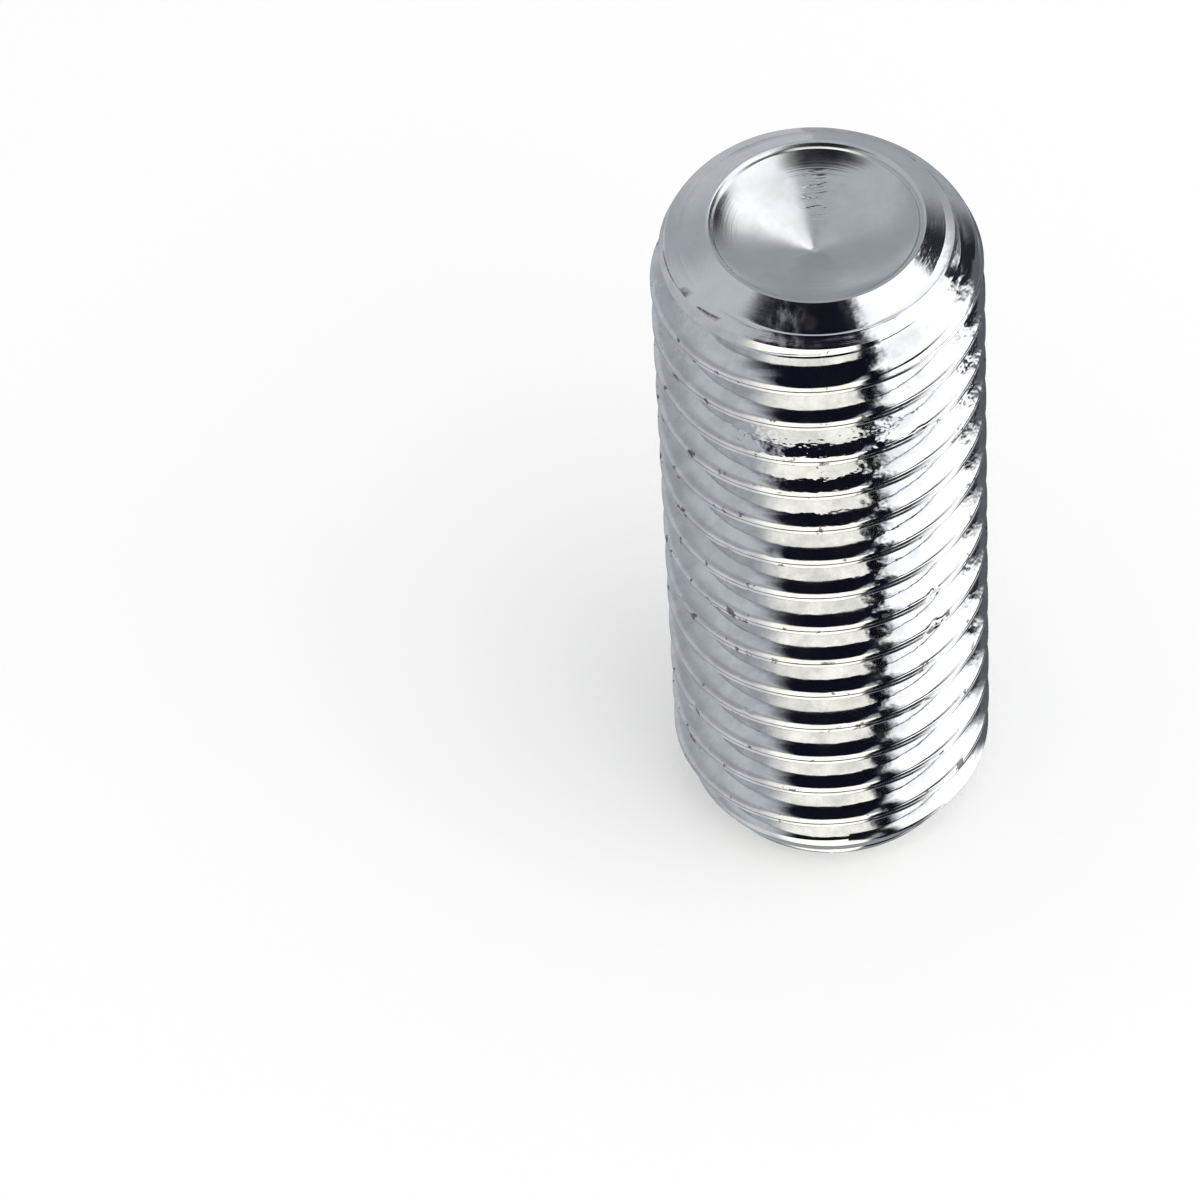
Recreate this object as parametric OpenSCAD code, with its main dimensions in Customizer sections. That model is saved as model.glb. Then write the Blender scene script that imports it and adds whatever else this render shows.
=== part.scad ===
// A grub set screw: a headless screw threaded along its whole length, with a hexagon socket in one end
// and a cup point at the other. It stands on its socket end, the origin is the middle of that end face,
// and +Z runs along the axis to the cup point. Lengths are in millimetres, angles in degrees.

/* [Thread] */
// Major diameter of the thread, over its crests
major_d = 8; // [7.5:0.25:10]
// Distance from one crest to the next along the axis
pitch = 1.25; // [0.75:0.05:1.5]
// Width of the flat on each crest
crest_flat = 0.16; // [0.1:0.01:0.24]
// Angle between the two flanks of a groove
flank_angle = 60; // [55:1:60]
// Radius at the bottom of the groove
root_r = 0.18; // [0.1:0.01:0.2]
// Where the thread starts round the axis, seen from the cup point
thread_start = 189; // [0:1:359]
// Part of their full height that the crests have at the rim of the cup
point_start_share = 0.1; // [0.05:0.01:0.4]
// Turns over which the crests grow from there to their full height
point_run_in = 1.5; // [0.5:0.1:3]
// Turns over which the crests grow to their full height at the socket end
socket_run_in = 1; // [0.5:0.05:3]

/* [Body] */
// Length from the socket end to the rim of the cup
length = 20; // [12:0.5:24]
// Diameter of the flat ring at the socket end, inside its chamfer
socket_end_d = 6.15; // [5.9:0.05:6.4]
// Angle between the chamfer at the socket end and the axis
socket_chamfer_angle = 30; // [25:1:50]

/* [Cup point] */
// Diameter of the cup at its rim
cup_d = 5.1; // [4:0.05:5.5]
// Angle across the cone of the cup
cup_angle = 135; // [118:1:145]
// Width of the narrow flat round the rim of the cup
cup_land = 0.06; // [0.02:0.01:0.2]
// Angle between the chamfer of the point and the axis
point_chamfer_angle = 58; // [40:1:62]

/* [Hexagon socket] */
// Width of the socket across its flats
socket_af = 4; // [2.5:0.5:4.4]
// Depth of the hexagon from the end face
socket_depth = 5; // [3:0.25:8]
// Diameter of the countersink at the end face
countersink_d = 5.8; // [5.3:0.05:5.85]
// Angle across the countersink
countersink_angle = 110; // [90:5:120]
// Angle across the cone at the bottom of the socket
socket_bottom_angle = 120; // [110:2:140]

/* [Detail] */
// Flat segments in one turn of the thread
turn_steps = 48; // [24:4:52]
// Straight steps round the bottom of the groove
root_steps = 3; // [2:1:4]

/* [Hidden] */
major_r = major_d / 2;
cup_r = cup_d / 2;
// The cutters and the thread reach past the ends by this much, so that no two faces lie on each other
overshoot = 1;

// Half a groove, measured along the axis from its middle: the flank is tangent to the root's arc
flank_half = flank_angle / 2;
groove_half = (pitch - crest_flat) / 2;
arc_half_height = root_r * cos(flank_half);
arc_rise = root_r * (1 - sin(flank_half));
flank_rise = (groove_half - arc_half_height) / tan(flank_half);
groove_depth = flank_rise + arc_rise;
root_centre_r = major_r - groove_depth + root_r;

// Points at the bottom of one groove as [radius, height], from its lower flank to its upper one
arc_half_angle = 90 - flank_half;
root_arc = [
    for (i = [0 : root_steps])
        let (a = -arc_half_angle + 2 * arc_half_angle * i / root_steps)
            [root_centre_r - root_r * cos(a), root_r * sin(a)]
];
profile_count = len(root_arc) + 2;
crest_row = profile_count - 1;

// The grooves climb this many turns, one of them past each end
thread_turns = ceil(length / pitch) + 2;
step_count = thread_turns * turn_steps;
thread_z0 = -pitch;

// A crest is never lower than this part of the flank, so that the root stays a groove
least_share = 0.03;

// Heights of the cones of the cup, the countersink and the bottom of the socket
cup_depth = cup_r / tan(cup_angle / 2);
socket_corner_d = socket_af / cos(30);
socket_bottom_rise = socket_af / 2 / tan(socket_bottom_angle / 2);

// How far a crest at height z lies below the full one: it grows with the turns from either end
function crest_drop(z) =
    let (
        socket_share = z / pitch / socket_run_in,
        point_turns = (length - z) / pitch,
        point_share = point_start_share + (1 - point_start_share) * point_turns / point_run_in,
        share = min(1, socket_share, point_share)
    )
        flank_rise * (1 - max(share, least_share));

// Edge of a crest as [radius, height] beside a groove at height z: side is -1 below it and 1 above it
function crest_edge(z, side) =
    let (drop = crest_drop(z + side * pitch / 2))
        [major_r - drop, side * (groove_half - drop * tan(flank_half))];

// A point of the thread: column i is the angle round the axis, row j the place on the profile
function thread_point(i, j) =
    let (
        a = thread_start + 360 * i / turn_steps,
        z = thread_z0 + pitch * i / turn_steps,
        p = j == 0 ? crest_edge(z, -1) : j == crest_row ? crest_edge(z, 1) : root_arc[j - 1]
    )
        [p[0] * cos(a), p[0] * sin(a), z + p[1]];

// The last row of a column and the first row of the column one turn later are joined by the crest
function point_id(i, j) = i * profile_count + j;

// A solid of the full thread, longer than the screw: rows of the profile carried round a helix,
// closed by a fan from the axis at either end
module thread_blank() {
    last = step_count;
    points = concat(
        [for (i = [0 : last], j = [0 : profile_count - 1]) thread_point(i, j)],
        [[0, 0, thread_z0], [0, 0, thread_z0 + pitch * thread_turns]]
    );
    foot = len(points) - 2;
    top = len(points) - 1;
    groove_faces = [
        for (i = [0 : last - 1], j = [0 : profile_count - 2])
            each [
                [point_id(i, j), point_id(i, j + 1), point_id(i + 1, j + 1)],
                [point_id(i, j), point_id(i + 1, j + 1), point_id(i + 1, j)]
            ]
    ];
    crest_faces = [
        for (i = [0 : last - turn_steps - 1])
            each [
                [point_id(i, crest_row), point_id(i + turn_steps, 0), point_id(i + 1 + turn_steps, 0)],
                [point_id(i, crest_row), point_id(i + 1 + turn_steps, 0), point_id(i + 1, crest_row)]
            ]
    ];
    foot_faces = [for (i = [0 : turn_steps - 1]) [foot, point_id(i, 0), point_id(i + 1, 0)]];
    top_faces = [
        for (i = [last - turn_steps : last - 1])
            [top, point_id(i + 1, crest_row), point_id(i, crest_row)]
    ];
    foot_step = concat([for (j = [crest_row : -1 : 0]) point_id(0, j)], [foot, point_id(turn_steps, 0)]);
    top_step = concat(
        [for (j = [0 : crest_row]) point_id(last, j)],
        [top, point_id(last - turn_steps, crest_row)]
    );
    polyhedron(
        points = points,
        faces = concat(groove_faces, crest_faces, foot_faces, top_faces, [foot_step, top_step])
    );
}

// Outline of the screw's two ends and of nothing else: it is wider than the thread in between
module end_envelope() {
    reach = major_r + overshoot;
    socket_end_r = socket_end_d / 2;
    point_r = cup_r + cup_land;
    rotate_extrude($fn = 96)
        polygon([
            [0, 0],
            [socket_end_r, 0],
            [reach, (reach - socket_end_r) / tan(socket_chamfer_angle)],
            [reach, length - (reach - point_r) / tan(point_chamfer_angle)],
            [point_r, length],
            [0, length]
        ]);
}

// Everything that is cut from the socket end: countersink, hexagon and its conical bottom
module socket_cut() {
    countersink_r = countersink_d / 2;
    rotate_extrude($fn = 96)
        polygon([
            [0, -overshoot],
            [countersink_r + overshoot * tan(countersink_angle / 2), -overshoot],
            [0, countersink_r / tan(countersink_angle / 2)]
        ]);
    translate([0, 0, -overshoot])
        cylinder(d = socket_corner_d, h = socket_depth + overshoot, $fn = 6);
    rotate_extrude($fn = 96)
        polygon([
            [0, socket_depth - overshoot],
            [socket_af / 2, socket_depth - overshoot],
            [socket_af / 2, socket_depth],
            [0, socket_depth + socket_bottom_rise]
        ]);
}

// The cone of the cup, carried on past the rim
module cup_cut() {
    spread = overshoot * tan(cup_angle / 2);
    rotate_extrude($fn = 96)
        polygon([
            [0, length - cup_depth],
            [cup_r + spread, length + overshoot],
            [0, length + overshoot]
        ]);
}

module set_screw() {
    color("silver")
        difference() {
            intersection() {
                thread_blank();
                end_envelope();
            }
            socket_cut();
            cup_cut();
        }
}

set_screw();
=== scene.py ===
import math
import bpy
import numpy as np
from mathutils import Matrix, Vector


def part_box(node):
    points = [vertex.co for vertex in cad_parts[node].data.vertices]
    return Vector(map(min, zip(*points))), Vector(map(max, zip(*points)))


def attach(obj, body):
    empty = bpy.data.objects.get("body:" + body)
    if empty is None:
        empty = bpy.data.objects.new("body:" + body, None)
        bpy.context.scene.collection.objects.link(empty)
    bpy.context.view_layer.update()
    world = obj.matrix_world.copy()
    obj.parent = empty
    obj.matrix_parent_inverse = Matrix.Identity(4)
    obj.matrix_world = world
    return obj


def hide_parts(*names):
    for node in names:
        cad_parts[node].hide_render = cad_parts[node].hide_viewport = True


# A grub set screw of bright plated steel, standing on its socket end on a pale floor.
# Lengths are in millimetres until a mesh is made, heights run from the socket end to the cup point,
# and angles round the axis are in degrees from +X.

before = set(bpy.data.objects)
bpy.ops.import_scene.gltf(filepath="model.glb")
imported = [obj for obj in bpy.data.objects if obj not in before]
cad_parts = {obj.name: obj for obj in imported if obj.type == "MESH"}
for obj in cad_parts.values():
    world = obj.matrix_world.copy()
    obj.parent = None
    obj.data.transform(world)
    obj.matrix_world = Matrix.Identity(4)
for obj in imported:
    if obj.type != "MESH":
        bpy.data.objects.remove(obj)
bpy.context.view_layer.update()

MM = 0.001
NODE = "set_screw"
BODY = "root"
node_low, node_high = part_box(NODE)

# Body
LENGTH = node_high[2] / MM
MAJOR_R = round(node_high[0] / MM, 1)
PITCH = 1.25
THREAD_START = 189
SOCKET_END_R = 3.2
SOCKET_CHAMFER_SLOPE = math.tan(math.radians(30))
POINT_CHAMFER_SLOPE = math.tan(math.radians(58))
RIM_R = 2.61
SHOULDER_R = 3.27
SHOULDER_SLOPE = math.tan(math.radians(67))
COUNTERSINK_R = 2.9
COUNTERSINK_HALF_ANGLE = math.radians(55)
HEXAGON_AF = 4.0
SOCKET_DEPTH = 5.0
SOCKET_TIP_HALF_ANGLE = math.radians(60)

# Cup: a rounded lip, a small step under it, a soft fillet and a cone, a little off the axis
LIP_RADIUS = 0.187
STEP_SLOPE = math.radians(62)
FILLET_RADIUS = 0.09
FILLET_SLOPE = math.radians(30.5)
FILLET_TAIL = 0.85
CUP_DEPTH = 1.06
CUP_SHIFT = -0.05

# Rolled form of one ridge: the root's arc, a flank that bends outwards near the crest, the crest's rounded
# edge, its land, and the seam that rolling leaves along the middle of the crest
ROOT_RADIUS = 0.16
EDGE_RADIUS = 0.05
ROOT_TILT = math.radians(64)
EDGE_TILT = math.radians(50)
FLANK_BEND = 2.6
CREST_LAND = 0.075
SEAM_HALF_WIDTH = 0.018
SEAM_DEPTH = 0.03
SEAM_FROM_R = 3.45
POINT_RUN_IN = 1.2
POINT_RUN_POWER = 0.75
SOCKET_RUN_IN = 1.0
ROOT_R = 3.231
LEAST_SHARE = 0.03
EDGE_SOFTNESS = 0.045
CUT_SOFTNESS = 0.02

# Mesh
COLUMNS = 222
ROOT_ROWS = 3
FLANK_ROWS = 5
EDGE_ROWS = 2
TURNS = 18
SHARP_ANGLE = math.radians(26)
SHARP_ANGLE_AT_ENDS = math.radians(12)
END_ZONE = 1.2
CRISP_FROM_R = 3.42


def soft_min(a, b, k):
    """The smaller of a and b, with the corner between them rounded over a width of about k:
    (a + b - sqrt((a - b)^2 + k^2)) / 2."""
    return (a + b - np.sqrt((a - b) ** 2 + k * k)) / 2


def carried(tilt, length):
    """Points of a curve given by its direction: tilt at even places along its length. Each step of length
    ds moves by ds * sin(middle tilt) one way and ds * cos(middle tilt) the other."""
    step = length / (len(tilt) - 1)
    middle = (tilt[1:] + tilt[:-1]) / 2
    return np.cumsum(np.sin(middle) * step), np.cumsum(np.cos(middle) * step)


def half_ridge():
    """Rise and height of the rolled form from the middle of a groove to the middle of the next crest.
    Its direction turns from 0 to ROOT_TILT over the root, back to EDGE_TILT over the flank as
    ROOT_TILT - (ROOT_TILT - EDGE_TILT) * t^FLANK_BEND, and to 0 over the edge of the crest. The flank is
    as long as half a pitch leaves it."""
    share = np.linspace(0, 1, FLANK_ROWS + 1)
    flank_tilt = ROOT_TILT - (ROOT_TILT - EDGE_TILT) * share ** FLANK_BEND
    root = carried(np.linspace(0, ROOT_TILT, ROOT_ROWS + 1), ROOT_RADIUS * ROOT_TILT)
    edge = carried(np.linspace(EDGE_TILT, 0, EDGE_ROWS + 1), EDGE_RADIUS * EDGE_TILT)
    unit = carried(flank_tilt, 1.0)
    left = PITCH / 2 - root[1][-1] - edge[1][-1] - CREST_LAND - SEAM_HALF_WIDTH
    flank = [part * left / unit[1][-1] for part in unit]
    rise, height = [np.zeros(1)], [np.zeros(1)]
    for stretch in (root, flank, edge, ([0.0], [CREST_LAND]), ([-SEAM_DEPTH], [SEAM_HALF_WIDTH])):
        rise.append(rise[-1][-1] + np.array(stretch[0]))
        height.append(height[-1][-1] + np.array(stretch[1]))
    return np.concatenate(rise), np.concatenate(height)


def one_pitch():
    """Rise and height over one pitch, from a groove's middle to just before the next groove's middle:
    half a ridge, the middle of its crest, and the same half turned over."""
    rise, height = half_ridge()
    middle = PITCH / 2
    return (
        np.concatenate([rise, rise[-2:0:-1]]),
        np.concatenate([height, PITCH - height[-2:0:-1]]),
        middle,
    )


def end_outline(z):
    """Largest radius at height z: the cone at the rim of the cup, a steeper one from SHOULDER_R on, and one
    at the socket end."""
    point = RIM_R + (LENGTH - z) * POINT_CHAMFER_SLOPE
    point += np.clip(point - SHOULDER_R, 0, None) * (SHOULDER_SLOPE / POINT_CHAMFER_SLOPE - 1)
    socket = SOCKET_END_R + z * SOCKET_CHAMFER_SLOPE
    return np.minimum(point, socket)


def point_limit(z):
    """Radius that a crest reaches at height z near the point: it grows with the power POINT_RUN_POWER of the
    turns from there."""
    share = np.clip((LENGTH - z) / PITCH / POINT_RUN_IN, 0, 1) ** POINT_RUN_POWER
    return ROOT_R + (MAJOR_R - ROOT_R) * np.maximum(share, LEAST_SHARE)


def socket_limit(z):
    """Radius of a crest whose middle is at height z near the socket end: it grows linearly with the turns."""
    return ROOT_R + (MAJOR_R - ROOT_R) * np.clip(z / PITCH / SOCKET_RUN_IN, LEAST_SHARE, 1)


def point_corner():
    """Height at which the steeper cone of the point meets point_limit: the first of even heights from the
    crests upwards at which the cone is the smaller one."""
    heights = np.linspace(LENGTH - 1, LENGTH, 2001)
    return heights[np.argmax(end_outline(heights) < point_limit(heights))]


def meet_corner(z, joined, form, corner, corner_radius):
    """Moves the two rows beside a corner's height onto it, where the form alone would reach past the corner's
    radius at both, and marks the upper one as joined."""
    count = (z <= corner).sum(2, keepdims=True)
    inside = (count > 0) & (count < z.shape[2])
    below = np.clip(count - 1, 0, None)
    above = np.clip(count, None, z.shape[2] - 1)
    both = inside & (np.minimum(form[below], form[above]) > corner_radius + CUT_SOFTNESS)
    for row in (below, above):
        np.put_along_axis(z, row, np.where(both, corner, np.take_along_axis(z, row, 2)), 2)
    np.put_along_axis(joined, above, both, 2)


POINT_CORNER = point_corner()


def hexagon_radius(angle):
    """Distance from the axis to the hexagon's side: half the width over the flats, divided by the cosine
    of the angle from the middle of the nearest side."""
    from_flat = (np.degrees(angle) % 60) - 30
    return HEXAGON_AF / 2 / np.cos(np.radians(from_flat))


def ring_points(radius, height):
    """Points of one ring, with radius and height each a number or one value for every column."""
    angle = np.arange(COLUMNS) * 2 * np.pi / COLUMNS
    radius = np.broadcast_to(radius, COLUMNS)
    return np.stack([radius * np.cos(angle), radius * np.sin(angle), np.broadcast_to(height, COLUMNS)], 1)


def thread_grid():
    """Points of the threaded outside as [column, row, xyz], their heights, the rows in a pitch, and which
    points lie in the seam along the crest.
    A row keeps its place on the rolled form and climbs by the pitch in one turn:
    height = start + PITCH * (turn + angle / 360) + height on the form, and the radius is the form's,
    held below the limit of its crest and the cones of the ends."""
    rise, height, middle = one_pitch()
    rows = len(rise)
    column = np.arange(COLUMNS)[:, None, None]
    turn = np.arange(TURNS)[None, :, None]
    start = -PITCH * (1 + THREAD_START / 360)
    groove = start + PITCH * (turn + column / COLUMNS)
    z = groove + height[None, None, :]
    form = MAJOR_R + rise - rise.max()
    limit = socket_limit(groove + middle)
    joined = np.zeros(z.shape, bool)
    meet_corner(z, joined, form, POINT_CORNER, point_limit(POINT_CORNER))
    radius = soft_min(form, np.minimum(limit, point_limit(z)), EDGE_SOFTNESS).reshape(COLUMNS, -1)
    z = z.reshape(COLUMNS, -1)
    radius = soft_min(radius, end_outline(z), CUT_SOFTNESS)
    angle = np.arange(COLUMNS)[:, None] * 2 * np.pi / COLUMNS
    points = np.stack([radius * np.cos(angle), radius * np.sin(angle), z], -1)
    seam = (np.arange(z.shape[1]) % rows == rows // 2) & (radius > SEAM_FROM_R)
    return points, z, rows, seam, joined.reshape(COLUMNS, -1)


def strip_faces(lower, upper):
    """Two triangles for each square between two closed rings of point numbers, the lower ring first."""
    lower_next = np.roll(lower, -1)
    upper_next = np.roll(upper, -1)
    return np.concatenate([
        np.stack([lower, lower_next, upper_next], 1),
        np.stack([lower, upper_next, upper], 1),
    ])


def thread_mesh():
    """Points, triangles and end rings of the outside, and which points lie in its seam. The rows that run past
    an end are gathered in that end's ring, and triangles that have lost a corner by it are left out."""
    points, z, rows, seam, joined = thread_grid()
    count = z.shape[1]
    inside = (z > 0) & (z < LENGTH)
    used = inside & ~joined
    number = np.cumsum(used.ravel()).reshape(z.shape) - 1
    kept = int(used.sum())
    columns = np.arange(COLUMNS)
    foot_ring = kept + columns
    rim_ring = kept + COLUMNS + columns
    number = np.where(inside, number, np.where(z <= 0, foot_ring[:, None], rim_ring[:, None]))
    wrapped = np.full(count, rim_ring[0])
    wrapped[:-rows] = number[0, rows:]
    number = np.concatenate([number, wrapped[None, :]])
    a, b = number[:-1, :-1], number[1:, :-1]
    c, d = number[1:, 1:], number[:-1, 1:]
    faces = np.concatenate([
        np.stack([a, b, c], -1).reshape(-1, 3),
        np.stack([a, c, d], -1).reshape(-1, 3),
    ])
    whole = (faces[:, 0] != faces[:, 1]) & (faces[:, 1] != faces[:, 2]) & (faces[:, 2] != faces[:, 0])
    rings = [ring_points(SOCKET_END_R, 0.0), ring_points(RIM_R, LENGTH)]
    return np.concatenate([points[used]] + rings), faces[whole], foot_ring, rim_ring, seam[used]


def cup_rings():
    """Rings from the rim to near the tip of the cup, as radius and depth. The slope grows from 0 to
    STEP_SLOPE over the lip's arc, falls to FILLET_SLOPE over the fillet and then to the slope of the cone,
    which is the one that ends at CUP_DEPTH."""
    stretches = [
        (np.linspace(0, STEP_SLOPE, 7), LIP_RADIUS * STEP_SLOPE),
        (np.linspace(STEP_SLOPE, FILLET_SLOPE, 5), FILLET_RADIUS * (STEP_SLOPE - FILLET_SLOPE)),
    ]
    depth, inward = [0.0], [0.0]
    for slope, length in stretches:
        down, along = carried(slope, length)
        depth += list(depth[-1] + down)
        inward += list(inward[-1] + along)
    left = RIM_R - inward[-1]
    even = (CUP_DEPTH - depth[-1] - FILLET_TAIL / 3 * math.tan(FILLET_SLOPE)) / (left - FILLET_TAIL / 3)
    share = np.linspace(0, 1, 9)[1:]
    tail = FILLET_TAIL * share
    extra = math.tan(FILLET_SLOPE) - even
    depth_tail = depth[-1] + even * tail + extra * FILLET_TAIL * (1 - (1 - share) ** 3) / 3
    cone = np.linspace(FILLET_TAIL, left - 0.12, 8)[1:]
    depth_cone = depth[-1] + even * cone + extra * FILLET_TAIL / 3
    depth = np.concatenate([depth[1:], depth_tail, depth_cone])
    inward = np.concatenate([inward[1:], inward[-1] + tail, inward[-1] + cone])
    return [ring_points(RIM_R - a, LENGTH - d) + cup_offset(RIM_R - a) for a, d in zip(inward, depth)]


def cup_offset(radius):
    """Shift of a ring of the cup along X: none at the rim, CUP_SHIFT at the tip."""
    return np.array([CUP_SHIFT * (1 - radius / RIM_R), 0, 0])


def socket_rings():
    """Rings from the end face up to the tip of the socket: the flat ring, the countersink down to where it
    meets the hexagon, the six walls, the flat corners of the bottom, and its cone."""
    angle = np.arange(COLUMNS) * 2 * np.pi / COLUMNS
    side = hexagon_radius(angle)
    mouth = (COUNTERSINK_R - side) / math.tan(COUNTERSINK_HALF_ANGLE)
    rings = [ring_points(COUNTERSINK_R, 0.0)]
    for share in np.linspace(0, 1, 6)[1:]:
        radius = COUNTERSINK_R + (side - COUNTERSINK_R) * share
        rings.append(ring_points(radius, (COUNTERSINK_R - radius) / math.tan(COUNTERSINK_HALF_ANGLE)))
    for share in np.linspace(0, 1, 9)[1:]:
        rings.append(ring_points(side, mouth + (SOCKET_DEPTH - mouth) * share))
    for radius in np.linspace(HEXAGON_AF / 2 * 0.995, 0.15, 8):
        rise = (HEXAGON_AF / 2 - radius) / math.tan(SOCKET_TIP_HALF_ANGLE)
        rings.append(ring_points(radius, SOCKET_DEPTH + rise))
    return rings


def close_end(points, faces, ring, rings, tip, upward):
    """Joins rings to a ring of the outside, one after another, and closes the last with a fan to the tip.
    Upward says that the end looks along +Z, which sets the way round of the triangles."""
    parts = [points]
    total = len(points)
    made = [faces]
    for new_ring in rings:
        numbers = total + np.arange(COLUMNS)
        parts.append(new_ring)
        total += COLUMNS
        strip = strip_faces(ring, numbers)
        made.append(strip if upward else strip[:, ::-1])
        ring = numbers
    parts.append(np.array([tip]))
    fan = np.stack([ring, np.roll(ring, -1), np.full(COLUMNS, total)], 1)
    made.append(fan if upward else fan[:, ::-1])
    return np.concatenate(parts), np.concatenate(made)


def screw_arrays():
    """Points, triangles, the number of the first triangle of the cup and of the socket, and 1 for the points
    in the seam."""
    points, faces, foot_ring, rim_ring, seam = thread_mesh()
    cup_start = len(faces)
    cup_tip = [CUP_SHIFT, 0, LENGTH - CUP_DEPTH]
    points, faces = close_end(points, faces, rim_ring, cup_rings(), cup_tip, True)
    socket_start = len(faces)
    socket_tip = [0, 0, SOCKET_DEPTH + HEXAGON_AF / 2 / math.tan(SOCKET_TIP_HALF_ANGLE)]
    points, faces = close_end(points, faces, foot_ring, socket_rings(), socket_tip, False)
    return points, faces, cup_start, socket_start, np.pad(seam.astype(float), (0, len(points) - len(seam)))


def sharp_edges(mesh, angle):
    """For each edge, whether its two faces meet at more than the angle."""
    mesh.set_sharp_from_angle(angle=angle)
    values = np.zeros(len(mesh.edges), bool)
    mesh.attributes["sharp_edge"].data.foreach_get("value", values)
    return values


def set_shading(mesh, points):
    """Smooth shading up to SHARP_ANGLE, and up to SHARP_ANGLE_AT_ENDS where the crests run out at the point, so
    that their cut corners stay crisp."""
    mesh.shade_smooth()
    crisp = sharp_edges(mesh, SHARP_ANGLE_AT_ENDS)
    soft = sharp_edges(mesh, SHARP_ANGLE)
    ends = np.zeros(len(mesh.edges) * 2, np.int32)
    mesh.edges.foreach_get("vertices", ends)
    z = points[ends.reshape(-1, 2), 2]
    radius = np.hypot(points[ends, 0], points[ends, 1]).reshape(-1, 2)
    near_end = (z > LENGTH - END_ZONE) & (radius > CRISP_FROM_R)
    mesh.attributes["sharp_edge"].data.foreach_set("value", np.where(near_end.all(1), crisp, soft))


def build_mesh(name, points, faces, material_numbers, materials, masks):
    """A mesh object at the origin from points in millimetres and triangles, with one float attribute for each
    mask."""
    mesh = bpy.data.meshes.new(name)
    mesh.vertices.add(len(points))
    mesh.vertices.foreach_set("co", (points * MM).astype(np.float32).ravel())
    mesh.loops.add(len(faces) * 3)
    mesh.loops.foreach_set("vertex_index", faces.astype(np.int32).ravel())
    mesh.polygons.add(len(faces))
    mesh.polygons.foreach_set("loop_start", np.arange(0, len(faces) * 3, 3, dtype=np.int32))
    mesh.polygons.foreach_set("loop_total", np.full(len(faces), 3, dtype=np.int32))
    for material in materials:
        mesh.materials.append(material)
    mesh.polygons.foreach_set("material_index", material_numbers.astype(np.int32))
    mesh.update(calc_edges=True)
    mesh.validate()
    set_shading(mesh, points)
    for mask_name, values in masks.items():
        attribute = mesh.attributes.new(mask_name, "FLOAT", "POINT")
        attribute.data.foreach_set("value", values.astype(np.float32))
    piece = bpy.data.objects.new(name, mesh)
    bpy.context.scene.collection.objects.link(piece)
    return piece


# Materials

STEEL = (0.80, 0.81, 0.83)
DULL_STEEL = (0.66, 0.67, 0.685)
CUP_STEEL = (0.70, 0.715, 0.73)
# Grime in pits and nicks, also used for the painted shade along the seam of the crests
GRIME_AND_SHADE = (0.035, 0.033, 0.035)
DULL_CUP = (0.63, 0.65, 0.66)
RUST = (0.42, 0.19, 0.18)

# Marks on the point's chamfer: where the cone and the step on it end, and their slopes
SHOULDER_TILT = 0.083
STEP_SLOPE_UP = 0.22


def new_value(tree, operation, *inputs, clamp=False):
    """Output of a Math node on numbers or other outputs."""
    node = tree.nodes.new("ShaderNodeMath")
    node.operation = operation
    node.use_clamp = clamp
    for socket, value in zip(node.inputs, inputs):
        if isinstance(value, (int, float)):
            socket.default_value = value
        else:
            tree.links.new(value, socket)
    return node.outputs[0]


def new_ramp(tree, value, low, high, bottom=0.0, top=1.0):
    """A smooth step of a value: bottom below low, top above high."""
    node = tree.nodes.new("ShaderNodeMapRange")
    node.interpolation_type = "SMOOTHSTEP"
    node.inputs["From Min"].default_value = low
    node.inputs["From Max"].default_value = high
    node.inputs["To Min"].default_value = bottom
    node.inputs["To Max"].default_value = top
    tree.links.new(value, node.inputs["Value"])
    return node.outputs["Result"]


def new_noise(tree, place, scale, detail=2.0, roughness=0.5, dimensions="3D"):
    """Output of a noise at a place, with its scale in waves a metre."""
    node = tree.nodes.new("ShaderNodeTexNoise")
    node.noise_dimensions = dimensions
    node.inputs["Scale"].default_value = scale
    node.inputs["Detail"].default_value = detail
    node.inputs["Roughness"].default_value = roughness
    tree.links.new(place, node.inputs["W" if dimensions == "1D" else "Vector"])
    return node.outputs[0]


def new_mix(tree, mask, first, second):
    """Mixes two colours, each a tuple or an output, by a mask."""
    node = tree.nodes.new("ShaderNodeMix")
    node.data_type = "RGBA"
    tree.links.new(mask, node.inputs["Factor"])
    for name, colour in (("A", first), ("B", second)):
        socket = next(s for s in node.inputs if s.name == name and s.type == "RGBA")
        if isinstance(colour, tuple):
            socket.default_value = (*colour, 1.0)
        else:
            tree.links.new(colour, socket)
    return next(s for s in node.outputs if s.type == "RGBA")


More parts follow.
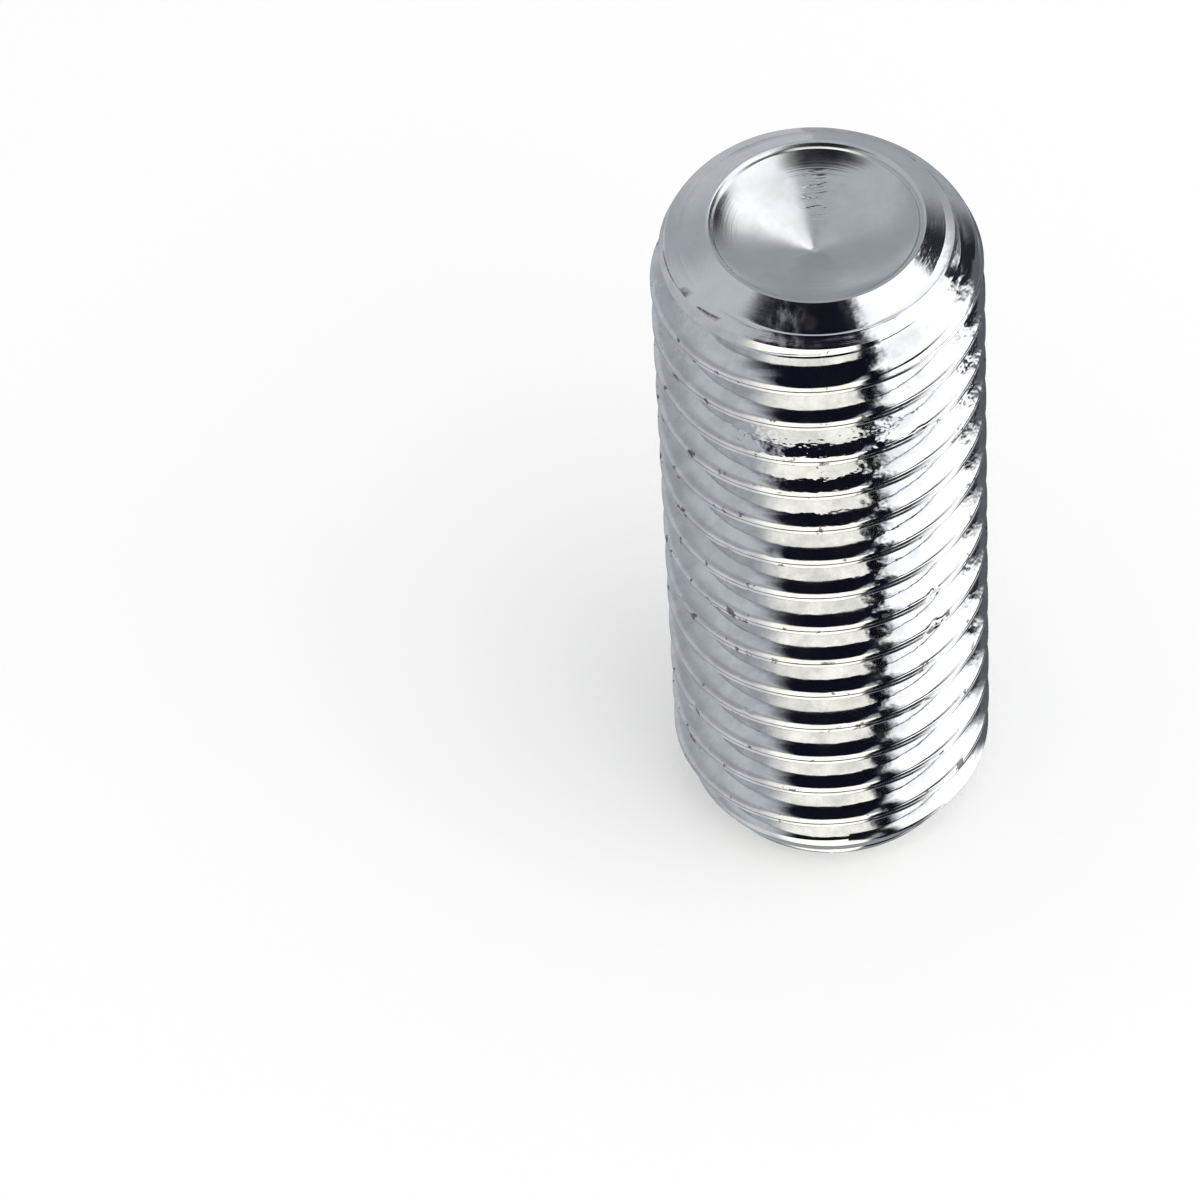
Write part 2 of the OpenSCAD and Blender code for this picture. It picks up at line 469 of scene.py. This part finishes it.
def wear_group():
    """Small pits and specks where a wear mask is high, dents drawn out round the axis in the same places, and
    soft waves of the polish everywhere: Place and Wear in, a mask of the pits and a height in millimetres
    out."""
    tree = bpy.data.node_groups.new("polish and pits", "ShaderNodeTree")
    tree.interface.new_socket("Place", in_out="INPUT", socket_type="NodeSocketVector")
    tree.interface.new_socket("Wear", in_out="INPUT", socket_type="NodeSocketFloat")
    tree.interface.new_socket("Pits", in_out="OUTPUT", socket_type="NodeSocketFloat")
    tree.interface.new_socket("Height", in_out="OUTPUT", socket_type="NodeSocketFloat")
    given = tree.nodes.new("NodeGroupInput")
    result = tree.nodes.new("NodeGroupOutput")
    place, wear = given.outputs["Place"], given.outputs["Wear"]
    level = tree.nodes.new("ShaderNodeMapping")
    level.inputs["Scale"].default_value = (1.0, 1.0, 3.0)
    tree.links.new(place, level.inputs["Vector"])
    fine = new_noise(tree, level.outputs[0], 4200, 3.0, 0.62)
    coarse = new_noise(tree, level.outputs[0], 1150, 3.0, 0.55)
    worn = new_value(tree, "MULTIPLY_ADD", wear, 0.15, fine)
    pits = new_ramp(tree, worn, 0.78, 0.87)
    waves = new_noise(tree, place, 1100, 1.0, 0.4)
    ripple = new_value(tree, "MULTIPLY", new_value(tree, "SUBTRACT", coarse, 0.5), wear)
    height = new_value(tree, "MULTIPLY", new_value(tree, "SUBTRACT", waves, 0.5), 0.006)
    height = new_value(tree, "MULTIPLY_ADD", ripple, 0.085, height)
    height = new_value(tree, "MULTIPLY_ADD", pits, -0.008, height)
    tree.links.new(pits, result.inputs["Pits"])
    tree.links.new(height, result.inputs["Height"])
    return tree


def add_wear(tree, group, wear):
    """Places the wear group on Object coordinates; gives its pits and height outputs."""
    node = tree.nodes.new("ShaderNodeGroup")
    node.node_tree = group
    place = tree.nodes.new("ShaderNodeTexCoord").outputs["Object"]
    tree.links.new(place, node.inputs["Place"])
    if wear is not None:
        tree.links.new(wear, node.inputs["Wear"])
    return place, node.outputs["Pits"], node.outputs["Height"]


def new_metal(name, roughness):
    """A material with a metal shader; gives the material, its node tree and the shader."""
    material = bpy.data.materials.new(name)
    material.use_nodes = True
    tree = material.node_tree
    shader = tree.nodes["Principled BSDF"]
    shader.inputs["Metallic"].default_value = 1.0
    shader.inputs["Roughness"].default_value = roughness
    shader.inputs["Base Color"].default_value = (*STEEL, 1.0)
    return material, tree, shader


def link_bump(tree, shader, height):
    """Bends the shader's normal by a height in millimetres."""
    bump = tree.nodes.new("ShaderNodeBump")
    bump.inputs["Distance"].default_value = MM
    tree.links.new(height, bump.inputs["Height"])
    tree.links.new(bump.outputs["Normal"], shader.inputs["Normal"])


def new_place(tree, place):
    """X, Y, Z, the distance from the axis, all in millimetres, and the cosine of the angle from the front."""
    split = tree.nodes.new("ShaderNodeSeparateXYZ")
    tree.links.new(place, split.inputs[0])
    x, y, z = [new_value(tree, "DIVIDE", value, MM) for value in split.outputs]
    square = new_value(tree, "ADD", new_value(tree, "MULTIPLY", x, x), new_value(tree, "MULTIPLY", y, y))
    radius = new_value(tree, "SQRT", square)
    facing = new_value(tree, "DIVIDE", new_value(tree, "MULTIPLY", y, -1.0), radius)
    return x, y, z, radius, facing


def smooth_window(tree, value, low, high, soft_low, soft_high):
    """1 between low and high, with soft edges: a rising step times a falling one."""
    rise = new_ramp(tree, value, low - soft_low, low + soft_low)
    fall = new_ramp(tree, value, high - soft_high, high + soft_high, 1.0, 0.0)
    return new_value(tree, "MULTIPLY", rise, fall)


def shoulder_height(tree, x, radius, facing):
    """Height of the marks on the point's chamfer: the cone lies a little flatter than its outline up to
    SHOULDER_R, where there is a low step. The step's slope is STEP_SLOPE_UP over a width that grows with
    the angle from the front, and it fades at the left."""
    inward = new_value(tree, "MINIMUM", new_value(tree, "SUBTRACT", radius, SHOULDER_R), 0.0)
    cone = new_value(tree, "MULTIPLY", inward, SHOULDER_TILT)
    aside = new_value(tree, "SUBTRACT", 1.0, facing)
    width = new_value(tree, "MULTIPLY_ADD", aside, 0.30, 0.025)
    width = new_value(tree, "MINIMUM", width, 0.21)
    past = new_value(tree, "ADD", new_value(tree, "SUBTRACT", radius, SHOULDER_R), width)
    climb = new_value(tree, "MULTIPLY", new_value(tree, "MAXIMUM", past, 0.0), STEP_SLOPE_UP)
    climb = new_value(tree, "MINIMUM", climb, new_value(tree, "MULTIPLY", width, STEP_SLOPE_UP))
    climb = new_value(tree, "MULTIPLY", climb, new_ramp(tree, x, -2.6, -1.5))
    drop = new_ramp(tree, radius, SHOULDER_R, SHOULDER_R + 0.035, 1.0, 0.0)
    return new_value(tree, "ADD", cone, new_value(tree, "MULTIPLY", climb, drop))


def polished_plate(group):
    """Bright plate on the thread and the chamfers, with grime in its pits and in nicks along the crests, painted
    shade in patches along the seam in the middle of the crests, and with scuffs and a small rusty spot on the
    front of the point's chamfer."""
    material, tree, shader = new_metal("polished plate", 0.06)
    wear = tree.nodes.new("ShaderNodeAttribute")
    wear.attribute_name = "wear"
    shoulder = tree.nodes.new("ShaderNodeAttribute")
    shoulder.attribute_name = "shoulder"
    on_shoulder = shoulder.outputs["Fac"]
    place, pits, height = add_wear(tree, group, wear.outputs["Fac"])
    x, y, z, radius, facing = new_place(tree, place)
    nicks = new_ramp(tree, new_noise(tree, place, 2300, 3.0, 0.6), 0.60, 0.66)
    nicks = new_value(tree, "MULTIPLY", nicks, new_ramp(tree, radius, 3.90, 3.96))
    grime_and_seam_shade = new_value(tree, "MAXIMUM", pits, new_value(tree, "MULTIPLY", nicks, 0.8))
    # Painted shade: the seam in the middle of the crests is darkened towards the grime colour in patches, and made
    # rougher
    seam = tree.nodes.new("ShaderNodeAttribute")
    seam.attribute_name = "seam"
    patchy = new_ramp(tree, new_noise(tree, place, 1900, 4.0, 0.7), 0.42, 0.60, 0.40, 1.0)
    grime_and_seam_shade = new_value(tree, "MAXIMUM", grime_and_seam_shade, new_value(tree, "MULTIPLY", seam.outputs["Fac"], patchy))
    front = new_value(tree, "MULTIPLY", new_ramp(tree, facing, 0.6, 0.8), on_shoulder)
    spot = new_value(tree, "MULTIPLY", smooth_window(tree, x, -0.38, -0.06, 0.16, 0.16), front)
    spot = new_value(tree, "MULTIPLY", spot, smooth_window(tree, radius, 2.86, 3.16, 0.12, 0.10))
    blots = new_ramp(tree, new_noise(tree, place, 3800, 3.0, 0.6), 0.2, 0.7, 0.2, 0.75)
    spot = new_value(tree, "MULTIPLY", spot, blots)
    level = tree.nodes.new("ShaderNodeMapping")
    level.inputs["Scale"].default_value = (1.6, 0.7, 0.7)
    tree.links.new(place, level.inputs["Vector"])
    streaks = new_ramp(tree, new_noise(tree, level.outputs[0], 2600, 3.0, 0.6), 0.35, 0.75)
    scuffed = new_value(tree, "MULTIPLY", smooth_window(tree, x, -1.15, -0.40, 0.25, 0.35), front)
    scuffs = new_value(tree, "MULTIPLY", streaks, scuffed)
    clouds = new_ramp(tree, new_noise(tree, place, 1500, 6.0, 0.68), 0.36, 0.64)
    clouds = new_value(tree, "MULTIPLY", clouds, new_value(tree, "MULTIPLY_ADD", on_shoulder, -0.7, 1.0))
    tone = new_mix(tree, clouds, STEEL, DULL_STEEL)
    tone = new_mix(tree, spot, tone, RUST)
    # Base colour: grime in the pits and nicks, and painted shade along the seam of the crests
    tree.links.new(new_mix(tree, grime_and_seam_shade, tone, GRIME_AND_SHADE), shader.inputs["Base Color"])
    cloud = new_ramp(tree, new_noise(tree, place, 1500, 3.0), 0.35, 0.75, 0.045, 0.11)
    rough = new_value(tree, "MULTIPLY_ADD", grime_and_seam_shade, 0.3, cloud)
    rough = new_value(tree, "MULTIPLY_ADD", on_shoulder, 0.03, rough)
    rough = new_value(tree, "MULTIPLY_ADD", scuffs, 0.26, rough)
    tree.links.new(new_value(tree, "MULTIPLY_ADD", spot, 0.22, rough), shader.inputs["Roughness"])
    marks = new_value(tree, "MULTIPLY", shoulder_height(tree, x, radius, facing), on_shoulder)
    turned = new_noise(tree, radius, 14, 3.0, 0.7, "1D")
    turned = new_value(tree, "MULTIPLY", new_value(tree, "MULTIPLY", turned, 0.001), on_shoulder)
    height = new_value(tree, "ADD", height, new_value(tree, "ADD", marks, turned))
    link_bump(tree, shader, height)
    return material


def turned_cup(group):
    """Satin plate in the cup, with the rings that a cutting edge left round the axis, cloudy roughness, and
    a few scratches at the back."""
    material, tree, shader = new_metal("turned cup", 0.19)
    place, pits, height = add_wear(tree, group, None)
    x, y, z, radius, facing = new_place(tree, place)
    rings = new_noise(tree, radius, 9, 3.0, 0.7, "1D")
    height = new_value(tree, "MULTIPLY_ADD", rings, 0.002, height)
    scratched = new_value(
        tree, "MULTIPLY",
        smooth_window(tree, x, -0.32, 0.22, 0.12, 0.12),
        smooth_window(tree, y, 0.95, 1.85, 0.20, 0.25),
    )
    slant = tree.nodes.new("ShaderNodeMapping")
    slant.inputs["Rotation"].default_value = (0.0, 0.0, math.radians(50))
    slant.inputs["Scale"].default_value = (0.35, 2.4, 1.0)
    tree.links.new(place, slant.inputs["Vector"])
    scratches = new_ramp(tree, new_noise(tree, slant.outputs[0], 3600, 2.0, 0.5), 0.56, 0.66)
    scratches = new_value(tree, "MULTIPLY", scratches, scratched)
    height = new_value(tree, "MULTIPLY_ADD", scratches, -0.012, height)
    clouds = new_noise(tree, place, 900, 4.0, 0.6)
    tone = new_mix(tree, new_ramp(tree, clouds, 0.35, 0.68), CUP_STEEL, DULL_CUP)
    tree.links.new(new_mix(tree, pits, tone, GRIME_AND_SHADE), shader.inputs["Base Color"])
    cloudy = new_ramp(tree, clouds, 0.3, 0.7, 0.15, 0.26)
    tree.links.new(cloudy, shader.inputs["Roughness"])
    link_bump(tree, shader, height)
    return material


def broached_socket(group):
    """Duller plate in the hexagon socket, drawn along the axis by the broach."""
    material, tree, shader = new_metal("broached socket", 0.3)
    place, pits, height = add_wear(tree, group, None)
    stretch = tree.nodes.new("ShaderNodeMapping")
    stretch.inputs["Scale"].default_value = (1.0, 1.0, 0.04)
    tree.links.new(place, stretch.inputs["Vector"])
    streaks = new_noise(tree, stretch.outputs[0], 9000, 2.0)
    height = new_value(tree, "MULTIPLY_ADD", streaks, 0.004, height)
    tree.links.new(new_mix(tree, pits, STEEL, GRIME_AND_SHADE), shader.inputs["Base Color"])
    link_bump(tree, shader, height)
    return material


# Dents

DENT_SEED = 41


def wear_mask(points):
    """How worn each point is, from 0 to 1: a sum of soft patches exp(-(distance / size)^2) on the thread."""
    patches = [
        # angle round the axis, height, width across, width up, strength
        (264, 16.3, 1.5, 0.45, 1.0),
        (268, 15.2, 1.2, 0.40, 0.8),
        (270, 14.0, 0.9, 0.40, 0.5),
        (296, 16.6, 0.7, 0.50, 0.5),
        (290, 12.0, 0.6, 7.00, 0.25),
        (338, 16.0, 0.8, 3.0, 0.8),
        (340, 8.0, 0.6, 4.0, 0.45),
        (197, 17.6, 0.9, 1.3, 0.8),
        (238, 16.4, 0.5, 0.4, 0.7),
        (215, 14.3, 0.5, 0.3, 0.8),
        (90, 9.0, 3.0, 3.0, 0.4),
        (130, 15.0, 1.5, 1.5, 0.6),
    ]
    angle = np.degrees(np.arctan2(points[:, 1], points[:, 0]))
    mask = np.full(len(points), 0.05)
    for place, height, across, up, strength in patches:
        turn = (angle - place + 180) % 360 - 180
        arc = np.radians(turn) * MAJOR_R
        mask += strength * np.exp(-(arc / across) ** 2 - ((points[:, 2] - height) / up) ** 2)
    return np.clip(mask, 0, 1)


def shoulder_mask(points):
    """1 on the cone of the point's chamfer, falling to 0 where the surface lies 0.04 inside its outline."""
    radius = np.hypot(points[:, 0], points[:, 1])
    inside = end_outline(points[:, 2]) - radius
    return np.clip(1.5 - inside / 0.04, 0, 1) * (points[:, 2] > POINT_CORNER - 0.001)


def dent_surface(points, outside):
    """Presses dents into the outside. Each moves the points near its middle towards the axis by
    depth * (1 - q) * exp(-q), with q = (distance / size)^2, so that a low lip stands round it."""
    rng = np.random.default_rng(DENT_SEED)
    count = 130
    angle = rng.uniform(0, 2 * np.pi, count)
    height = rng.uniform(1.5, LENGTH - 1.5, count)
    size = rng.uniform(0.07, 0.22, count)
    depth = size * rng.uniform(0.12, 0.28, count)
    moved = points.copy()
    shell = points[outside]
    radius = np.hypot(shell[:, 0], shell[:, 1])
    shift = np.zeros(len(shell))
    for a, z, s, d in zip(angle, height, size, depth):
        middle = np.array([MAJOR_R * np.cos(a), MAJOR_R * np.sin(a), z])
        q = ((shell - middle) ** 2).sum(1) / (s * s)
        shift += d * (1 - q) * np.exp(-q)
    scale = 1 - np.clip(shift, -0.01, None) / radius
    moved[outside, 0] = shell[:, 0] * scale
    moved[outside, 1] = shell[:, 1] * scale
    return moved


def build_screw():
    """The whole screw as one closed surface: outside, cup and socket."""
    points, faces, cup_start, socket_start, seam = screw_arrays()
    outside = np.zeros(len(points), bool)
    outside[np.unique(faces[:cup_start])] = True
    outside &= (points[:, 2] > 0.4) & (points[:, 2] < LENGTH - 1.1)
    points = dent_surface(points, outside)
    numbers = np.zeros(len(faces), int)
    numbers[cup_start:socket_start] = 1
    numbers[socket_start:] = 2
    group = wear_group()
    materials = [polished_plate(group), turned_cup(group), broached_socket(group)]
    masks = {"wear": wear_mask(points), "shoulder": shoulder_mask(points), "seam": seam}
    screw = build_mesh("rolled_screw", points, faces, numbers, materials, masks)
    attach(screw, BODY)
    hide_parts(NODE)
    return screw


# Stage

FLOOR_SIZE = 4.0
FLOOR_COLOUR = (0.86, 0.86, 0.86)
FLOOR_GLOW = 0.17


def build_floor():
    """A wide pale floor under the screw. The camera sees it with a little glow added, so that it is nearly
    white, and glossy rays pass it and see the world's own lower half."""
    size = FLOOR_SIZE / 2
    mesh = bpy.data.meshes.new("floor")
    mesh.from_pydata([(-size, -size, 0), (size, -size, 0), (size, size, 0), (-size, size, 0)], [], [(0, 1, 2, 3)])
    floor = bpy.data.objects.new("floor", mesh)
    bpy.context.scene.collection.objects.link(floor)
    material = bpy.data.materials.new("pale floor")
    material.use_nodes = True
    tree = material.node_tree
    tree.nodes.clear()
    output = tree.nodes.new("ShaderNodeOutputMaterial")
    matt = tree.nodes.new("ShaderNodeBsdfDiffuse")
    matt.inputs["Color"].default_value = (*FLOOR_COLOUR, 1.0)
    glow = tree.nodes.new("ShaderNodeEmission")
    clear = tree.nodes.new("ShaderNodeBsdfTransparent")
    rays = tree.nodes.new("ShaderNodeLightPath")
    tree.links.new(new_value(tree, "MULTIPLY", rays.outputs["Is Camera Ray"], FLOOR_GLOW), glow.inputs["Strength"])
    seen = tree.nodes.new("ShaderNodeAddShader")
    tree.links.new(matt.outputs[0], seen.inputs[0])
    tree.links.new(glow.outputs[0], seen.inputs[1])
    mix = tree.nodes.new("ShaderNodeMixShader")
    tree.links.new(rays.outputs["Is Glossy Ray"], mix.inputs[0])
    tree.links.new(seen.outputs[0], mix.inputs[1])
    tree.links.new(clear.outputs[0], mix.inputs[2])
    tree.links.new(mix.outputs[0], output.inputs["Surface"])
    mesh.materials.append(material)


def studio_colour(tree):
    """What polished metal reflects, as a function of direction: a white tent, grey at the left, with a dark
    opening overhead towards the front, a dark upright gap beside it and a dark doorway at the right.
    Side is the direction's angle from the front, to the right, and rise its angle above the horizon.
    Across and along are its place on a level ceiling."""
    place = tree.nodes.new("ShaderNodeTexCoord").outputs["Generated"]
    split = tree.nodes.new("ShaderNodeSeparateXYZ")
    tree.links.new(place, split.inputs[0])
    x, y, z = split.outputs
    degrees = 180 / math.pi
    front = new_value(tree, "MULTIPLY", y, -1.0)
    side = new_value(tree, "MULTIPLY", new_value(tree, "ARCTAN2", x, front), degrees)
    rise = new_value(tree, "MULTIPLY", new_value(tree, "ARCSINE", z), degrees)
    height = new_value(tree, "MAXIMUM", z, 0.05)
    across = new_value(tree, "DIVIDE", x, height)
    along = new_value(tree, "MAXIMUM", new_value(tree, "DIVIDE", y, height), -1.2)

    def both(*masks):
        product = masks[0]
        for mask in masks[1:]:
            product = new_value(tree, "MULTIPLY", product, mask)
        return product

    def falling(value, low, high):
        return new_ramp(tree, value, low, high, 1.0, 0.0)

    def rising(value, low, high):
        return new_ramp(tree, value, low, high)

    # Grey wall at the left and behind, a little darker near the front, paler low down and towards the ceiling
    colour = new_mix(tree, rising(side, -100, -45), GREY_WALL, GREY_FRONT)
    colour = new_mix(tree, rising(side, 120, 155), colour, GREY_WALL)
    colour = new_mix(tree, rising(rise, 30, 46), colour, GREY_CEILING)
    colour = new_mix(tree, both(falling(rise, 6, 22), falling(side, -40, -20)), colour, GREY_LOW)
    # White wall at the right, up to a white ceiling, with a dark strip above the horizon
    right = both(rising(side, 30, 34), falling(side, 130, 152), rising(across, 0.13, 0.19))
    upper_white = new_mix(tree, rising(rise, 50, 66), WHITE_WALL, WHITE_CEILING)
    colour = new_mix(tree, both(right, rising(rise, 22, 28)), colour, upper_white)
    low_right = both(rising(side, 30, 34), falling(side, 96, 118), falling(rise, 24, 27))
    strip_colour = new_mix(tree, rising(side, 58, 92), DARK_STRIP, WHITE_WALL)
    colour = new_mix(tree, low_right, colour, strip_colour)
    colour = new_mix(tree, both(low_right, falling(rise, 6, 12)), colour, WHITE_LOW)
    # Floor: grey at the left and behind, paler towards the front, dark beside the gap, white at the right, dark
    # behind at the right, and grey under the screw
    floor_colour = new_mix(tree, rising(side, -130, -60), GREY_WALL, PALE_FLOOR)
    floor_colour = new_mix(tree, rising(side, 32, 36), floor_colour, DARK_STRIP)
    floor_colour = new_mix(tree, rising(side, 60, 88), floor_colour, WHITE_WALL)
    floor_colour = new_mix(tree, rising(side, 98, 120), floor_colour, GREY_BACK)
    floor_colour = new_mix(tree, falling(rise, -66, -58), floor_colour, GREY_FLOOR)
    colour = new_mix(tree, falling(rise, -36, -28), colour, floor_colour)
    # Grey doorway at the right, a little behind, darker towards its top, which falls away to the back
    slope = new_value(tree, "MULTIPLY_ADD", side, 0.42, rise)
    doorway = both(smooth_window(tree, side, 109, 142, 5.0, 10.0), rising(rise, -34, -28), falling(slope, 89, 96))
    doorway_colour = new_mix(tree, rising(slope, 73, 80), GREY_BACK, DOORWAY)
    colour = new_mix(tree, doorway, colour, doorway_colour)
    # White front wall and floor
    low_front = both(smooth_window(tree, side, -43, 25, 13.0, 2.5), falling(rise, 26, 31))
    colour = new_mix(tree, low_front, colour, WARM_FRONT)
    # White ceiling behind the opening, to the right
    back_right = both(rising(along, -0.04, 0.02), rising(across, 0.13, 0.19), rising(rise, 41, 47))
    colour = new_mix(tree, both(back_right, falling(side, 130, 152)), colour, upper_white)
    # Dark opening overhead: its left edge runs forwards, then far to the left near the zenith
    forward = new_value(tree, "MINIMUM", along, -0.33)
    notch = smooth_window(tree, along, -0.33, -0.17, 0.03, 0.02)
    left_edge = new_value(tree, "MULTIPLY_ADD", forward, -0.33, across)
    left_edge = new_value(tree, "MULTIPLY_ADD", notch, -0.05, left_edge)
    right_edge = new_value(tree, "MULTIPLY_ADD", along, 0.10, across)
    opening = both(
        rising(left_edge, -0.58, -0.29),
        falling(right_edge, 0.22, 0.33),
        falling(along, -0.06, 0.0),
        rising(rise, 26, 31),
    )
    colour = new_mix(tree, opening, colour, OPENING)
    # Dark upright gap between the front wall and the right one
    gap = both(smooth_window(tree, side, 24, 40, 3.0, 6.0), falling(rise, 54, 64), rising(rise, -65, -55))
    return new_mix(tree, gap, colour, OPENING)


GREY_WALL = (0.405, 0.425, 0.45)
GREY_FRONT = (0.40, 0.415, 0.44)
GREY_LOW = (0.55, 0.57, 0.595)
GREY_CEILING = (0.555, 0.58, 0.61)
GREY_FLOOR = (0.32, 0.34, 0.355)
GREY_BACK = (0.13, 0.135, 0.15)
PALE_FLOOR = (0.74, 0.75, 0.76)
WHITE_WALL = (1.50, 1.50, 1.50)
WHITE_CEILING = (1.27, 1.28, 1.30)
WHITE_LOW = (1.90, 1.90, 1.90)
WARM_FRONT = (1.50, 1.46, 1.30)
DARK_STRIP = (0.03, 0.032, 0.04)
DOORWAY = (0.02, 0.021, 0.03)
OPENING = (0.005, 0.005, 0.012)


def build_world():
    """The studio for glossy rays, a plain level of light for matt surfaces, and white for the camera."""
    world = bpy.data.worlds.new("studio")
    bpy.context.scene.world = world
    world.use_nodes = True
    tree = world.node_tree
    tree.nodes.clear()
    output = tree.nodes.new("ShaderNodeOutputWorld")
    glossy = tree.nodes.new("ShaderNodeBackground")
    tree.links.new(studio_colour(tree), glossy.inputs["Color"])
    plain = tree.nodes.new("ShaderNodeBackground")
    plain.inputs["Color"].default_value = (1.0, 1.0, 1.0, 1.0)
    plain.inputs["Strength"].default_value = 0.75
    white = tree.nodes.new("ShaderNodeBackground")
    white.inputs["Color"].default_value = (1.0, 1.0, 1.0, 1.0)
    rays = tree.nodes.new("ShaderNodeLightPath")
    first = tree.nodes.new("ShaderNodeMixShader")
    tree.links.new(rays.outputs["Is Glossy Ray"], first.inputs[0])
    tree.links.new(plain.outputs[0], first.inputs[1])
    tree.links.new(glossy.outputs[0], first.inputs[2])
    second = tree.nodes.new("ShaderNodeMixShader")
    tree.links.new(rays.outputs["Is Camera Ray"], second.inputs[0])
    tree.links.new(first.outputs[0], second.inputs[1])
    tree.links.new(white.outputs[0], second.inputs[2])
    tree.links.new(second.outputs[0], output.inputs["Surface"])


def build_lamp():
    """One soft lamp above and to the right, which gives the floor its faint shadow."""
    data = bpy.data.lights.new("soft lamp", "AREA")
    data.size = 0.25
    data.energy = 0.35
    lamp = bpy.data.objects.new("soft lamp", data)
    lamp.location = (0.12, -0.10, 0.30)
    lamp.rotation_mode = "QUATERNION"
    lamp.rotation_quaternion = (-Vector(lamp.location)).to_track_quat("-Z", "Y")
    lamp.visible_glossy = False
    bpy.context.scene.collection.objects.link(lamp)


# Camera, from the outline, the rim of the cup and the crest lines in the picture

PICTURE = 1200
SENSOR = 36.0
CAMERA_DISTANCE = 195.4
CAMERA_ELEVATION = math.radians(49.28)
CAMERA_ROLL = math.radians(-1.881)
FOCAL_PIXELS = 7973
MIDDLE_PIXEL = (824.72, 497.79)


def build_camera():
    """The camera looks at the screw's middle from the front and above, is rolled a little, and is then
    turned by the smallest angle that brings the middle to its place in the picture."""
    back = Vector((0, -math.cos(CAMERA_ELEVATION), math.sin(CAMERA_ELEVATION)))
    level = Vector((1, 0, 0))
    upright = back.cross(level)
    right = math.cos(CAMERA_ROLL) * level + math.sin(CAMERA_ROLL) * upright
    up = math.cos(CAMERA_ROLL) * upright - math.sin(CAMERA_ROLL) * level
    aimed = Matrix((right, up, back)).transposed()
    half = PICTURE / 2
    place = Vector(((MIDDLE_PIXEL[0] - half) / FOCAL_PIXELS, (half - MIDDLE_PIXEL[1]) / FOCAL_PIXELS, -1))
    turn = place.rotation_difference(Vector((0, 0, -1)))
    camera_data = bpy.data.cameras.new("camera")
    camera_data.sensor_width = SENSOR
    camera_data.lens = FOCAL_PIXELS / PICTURE * SENSOR
    camera_data.clip_start = 0.01
    camera = bpy.data.objects.new("camera", camera_data)
    turned = aimed.to_4x4() @ turn.to_matrix().to_4x4()
    middle = Vector((0, 0, LENGTH / 2 * MM))
    turned.translation = middle + back * CAMERA_DISTANCE * MM
    camera.matrix_world = turned
    bpy.context.scene.collection.objects.link(camera)
    bpy.context.scene.camera = camera


bpy.context.scene.view_settings.view_transform = "Standard"
build_screw()
build_floor()
build_world()
build_lamp()
build_camera()
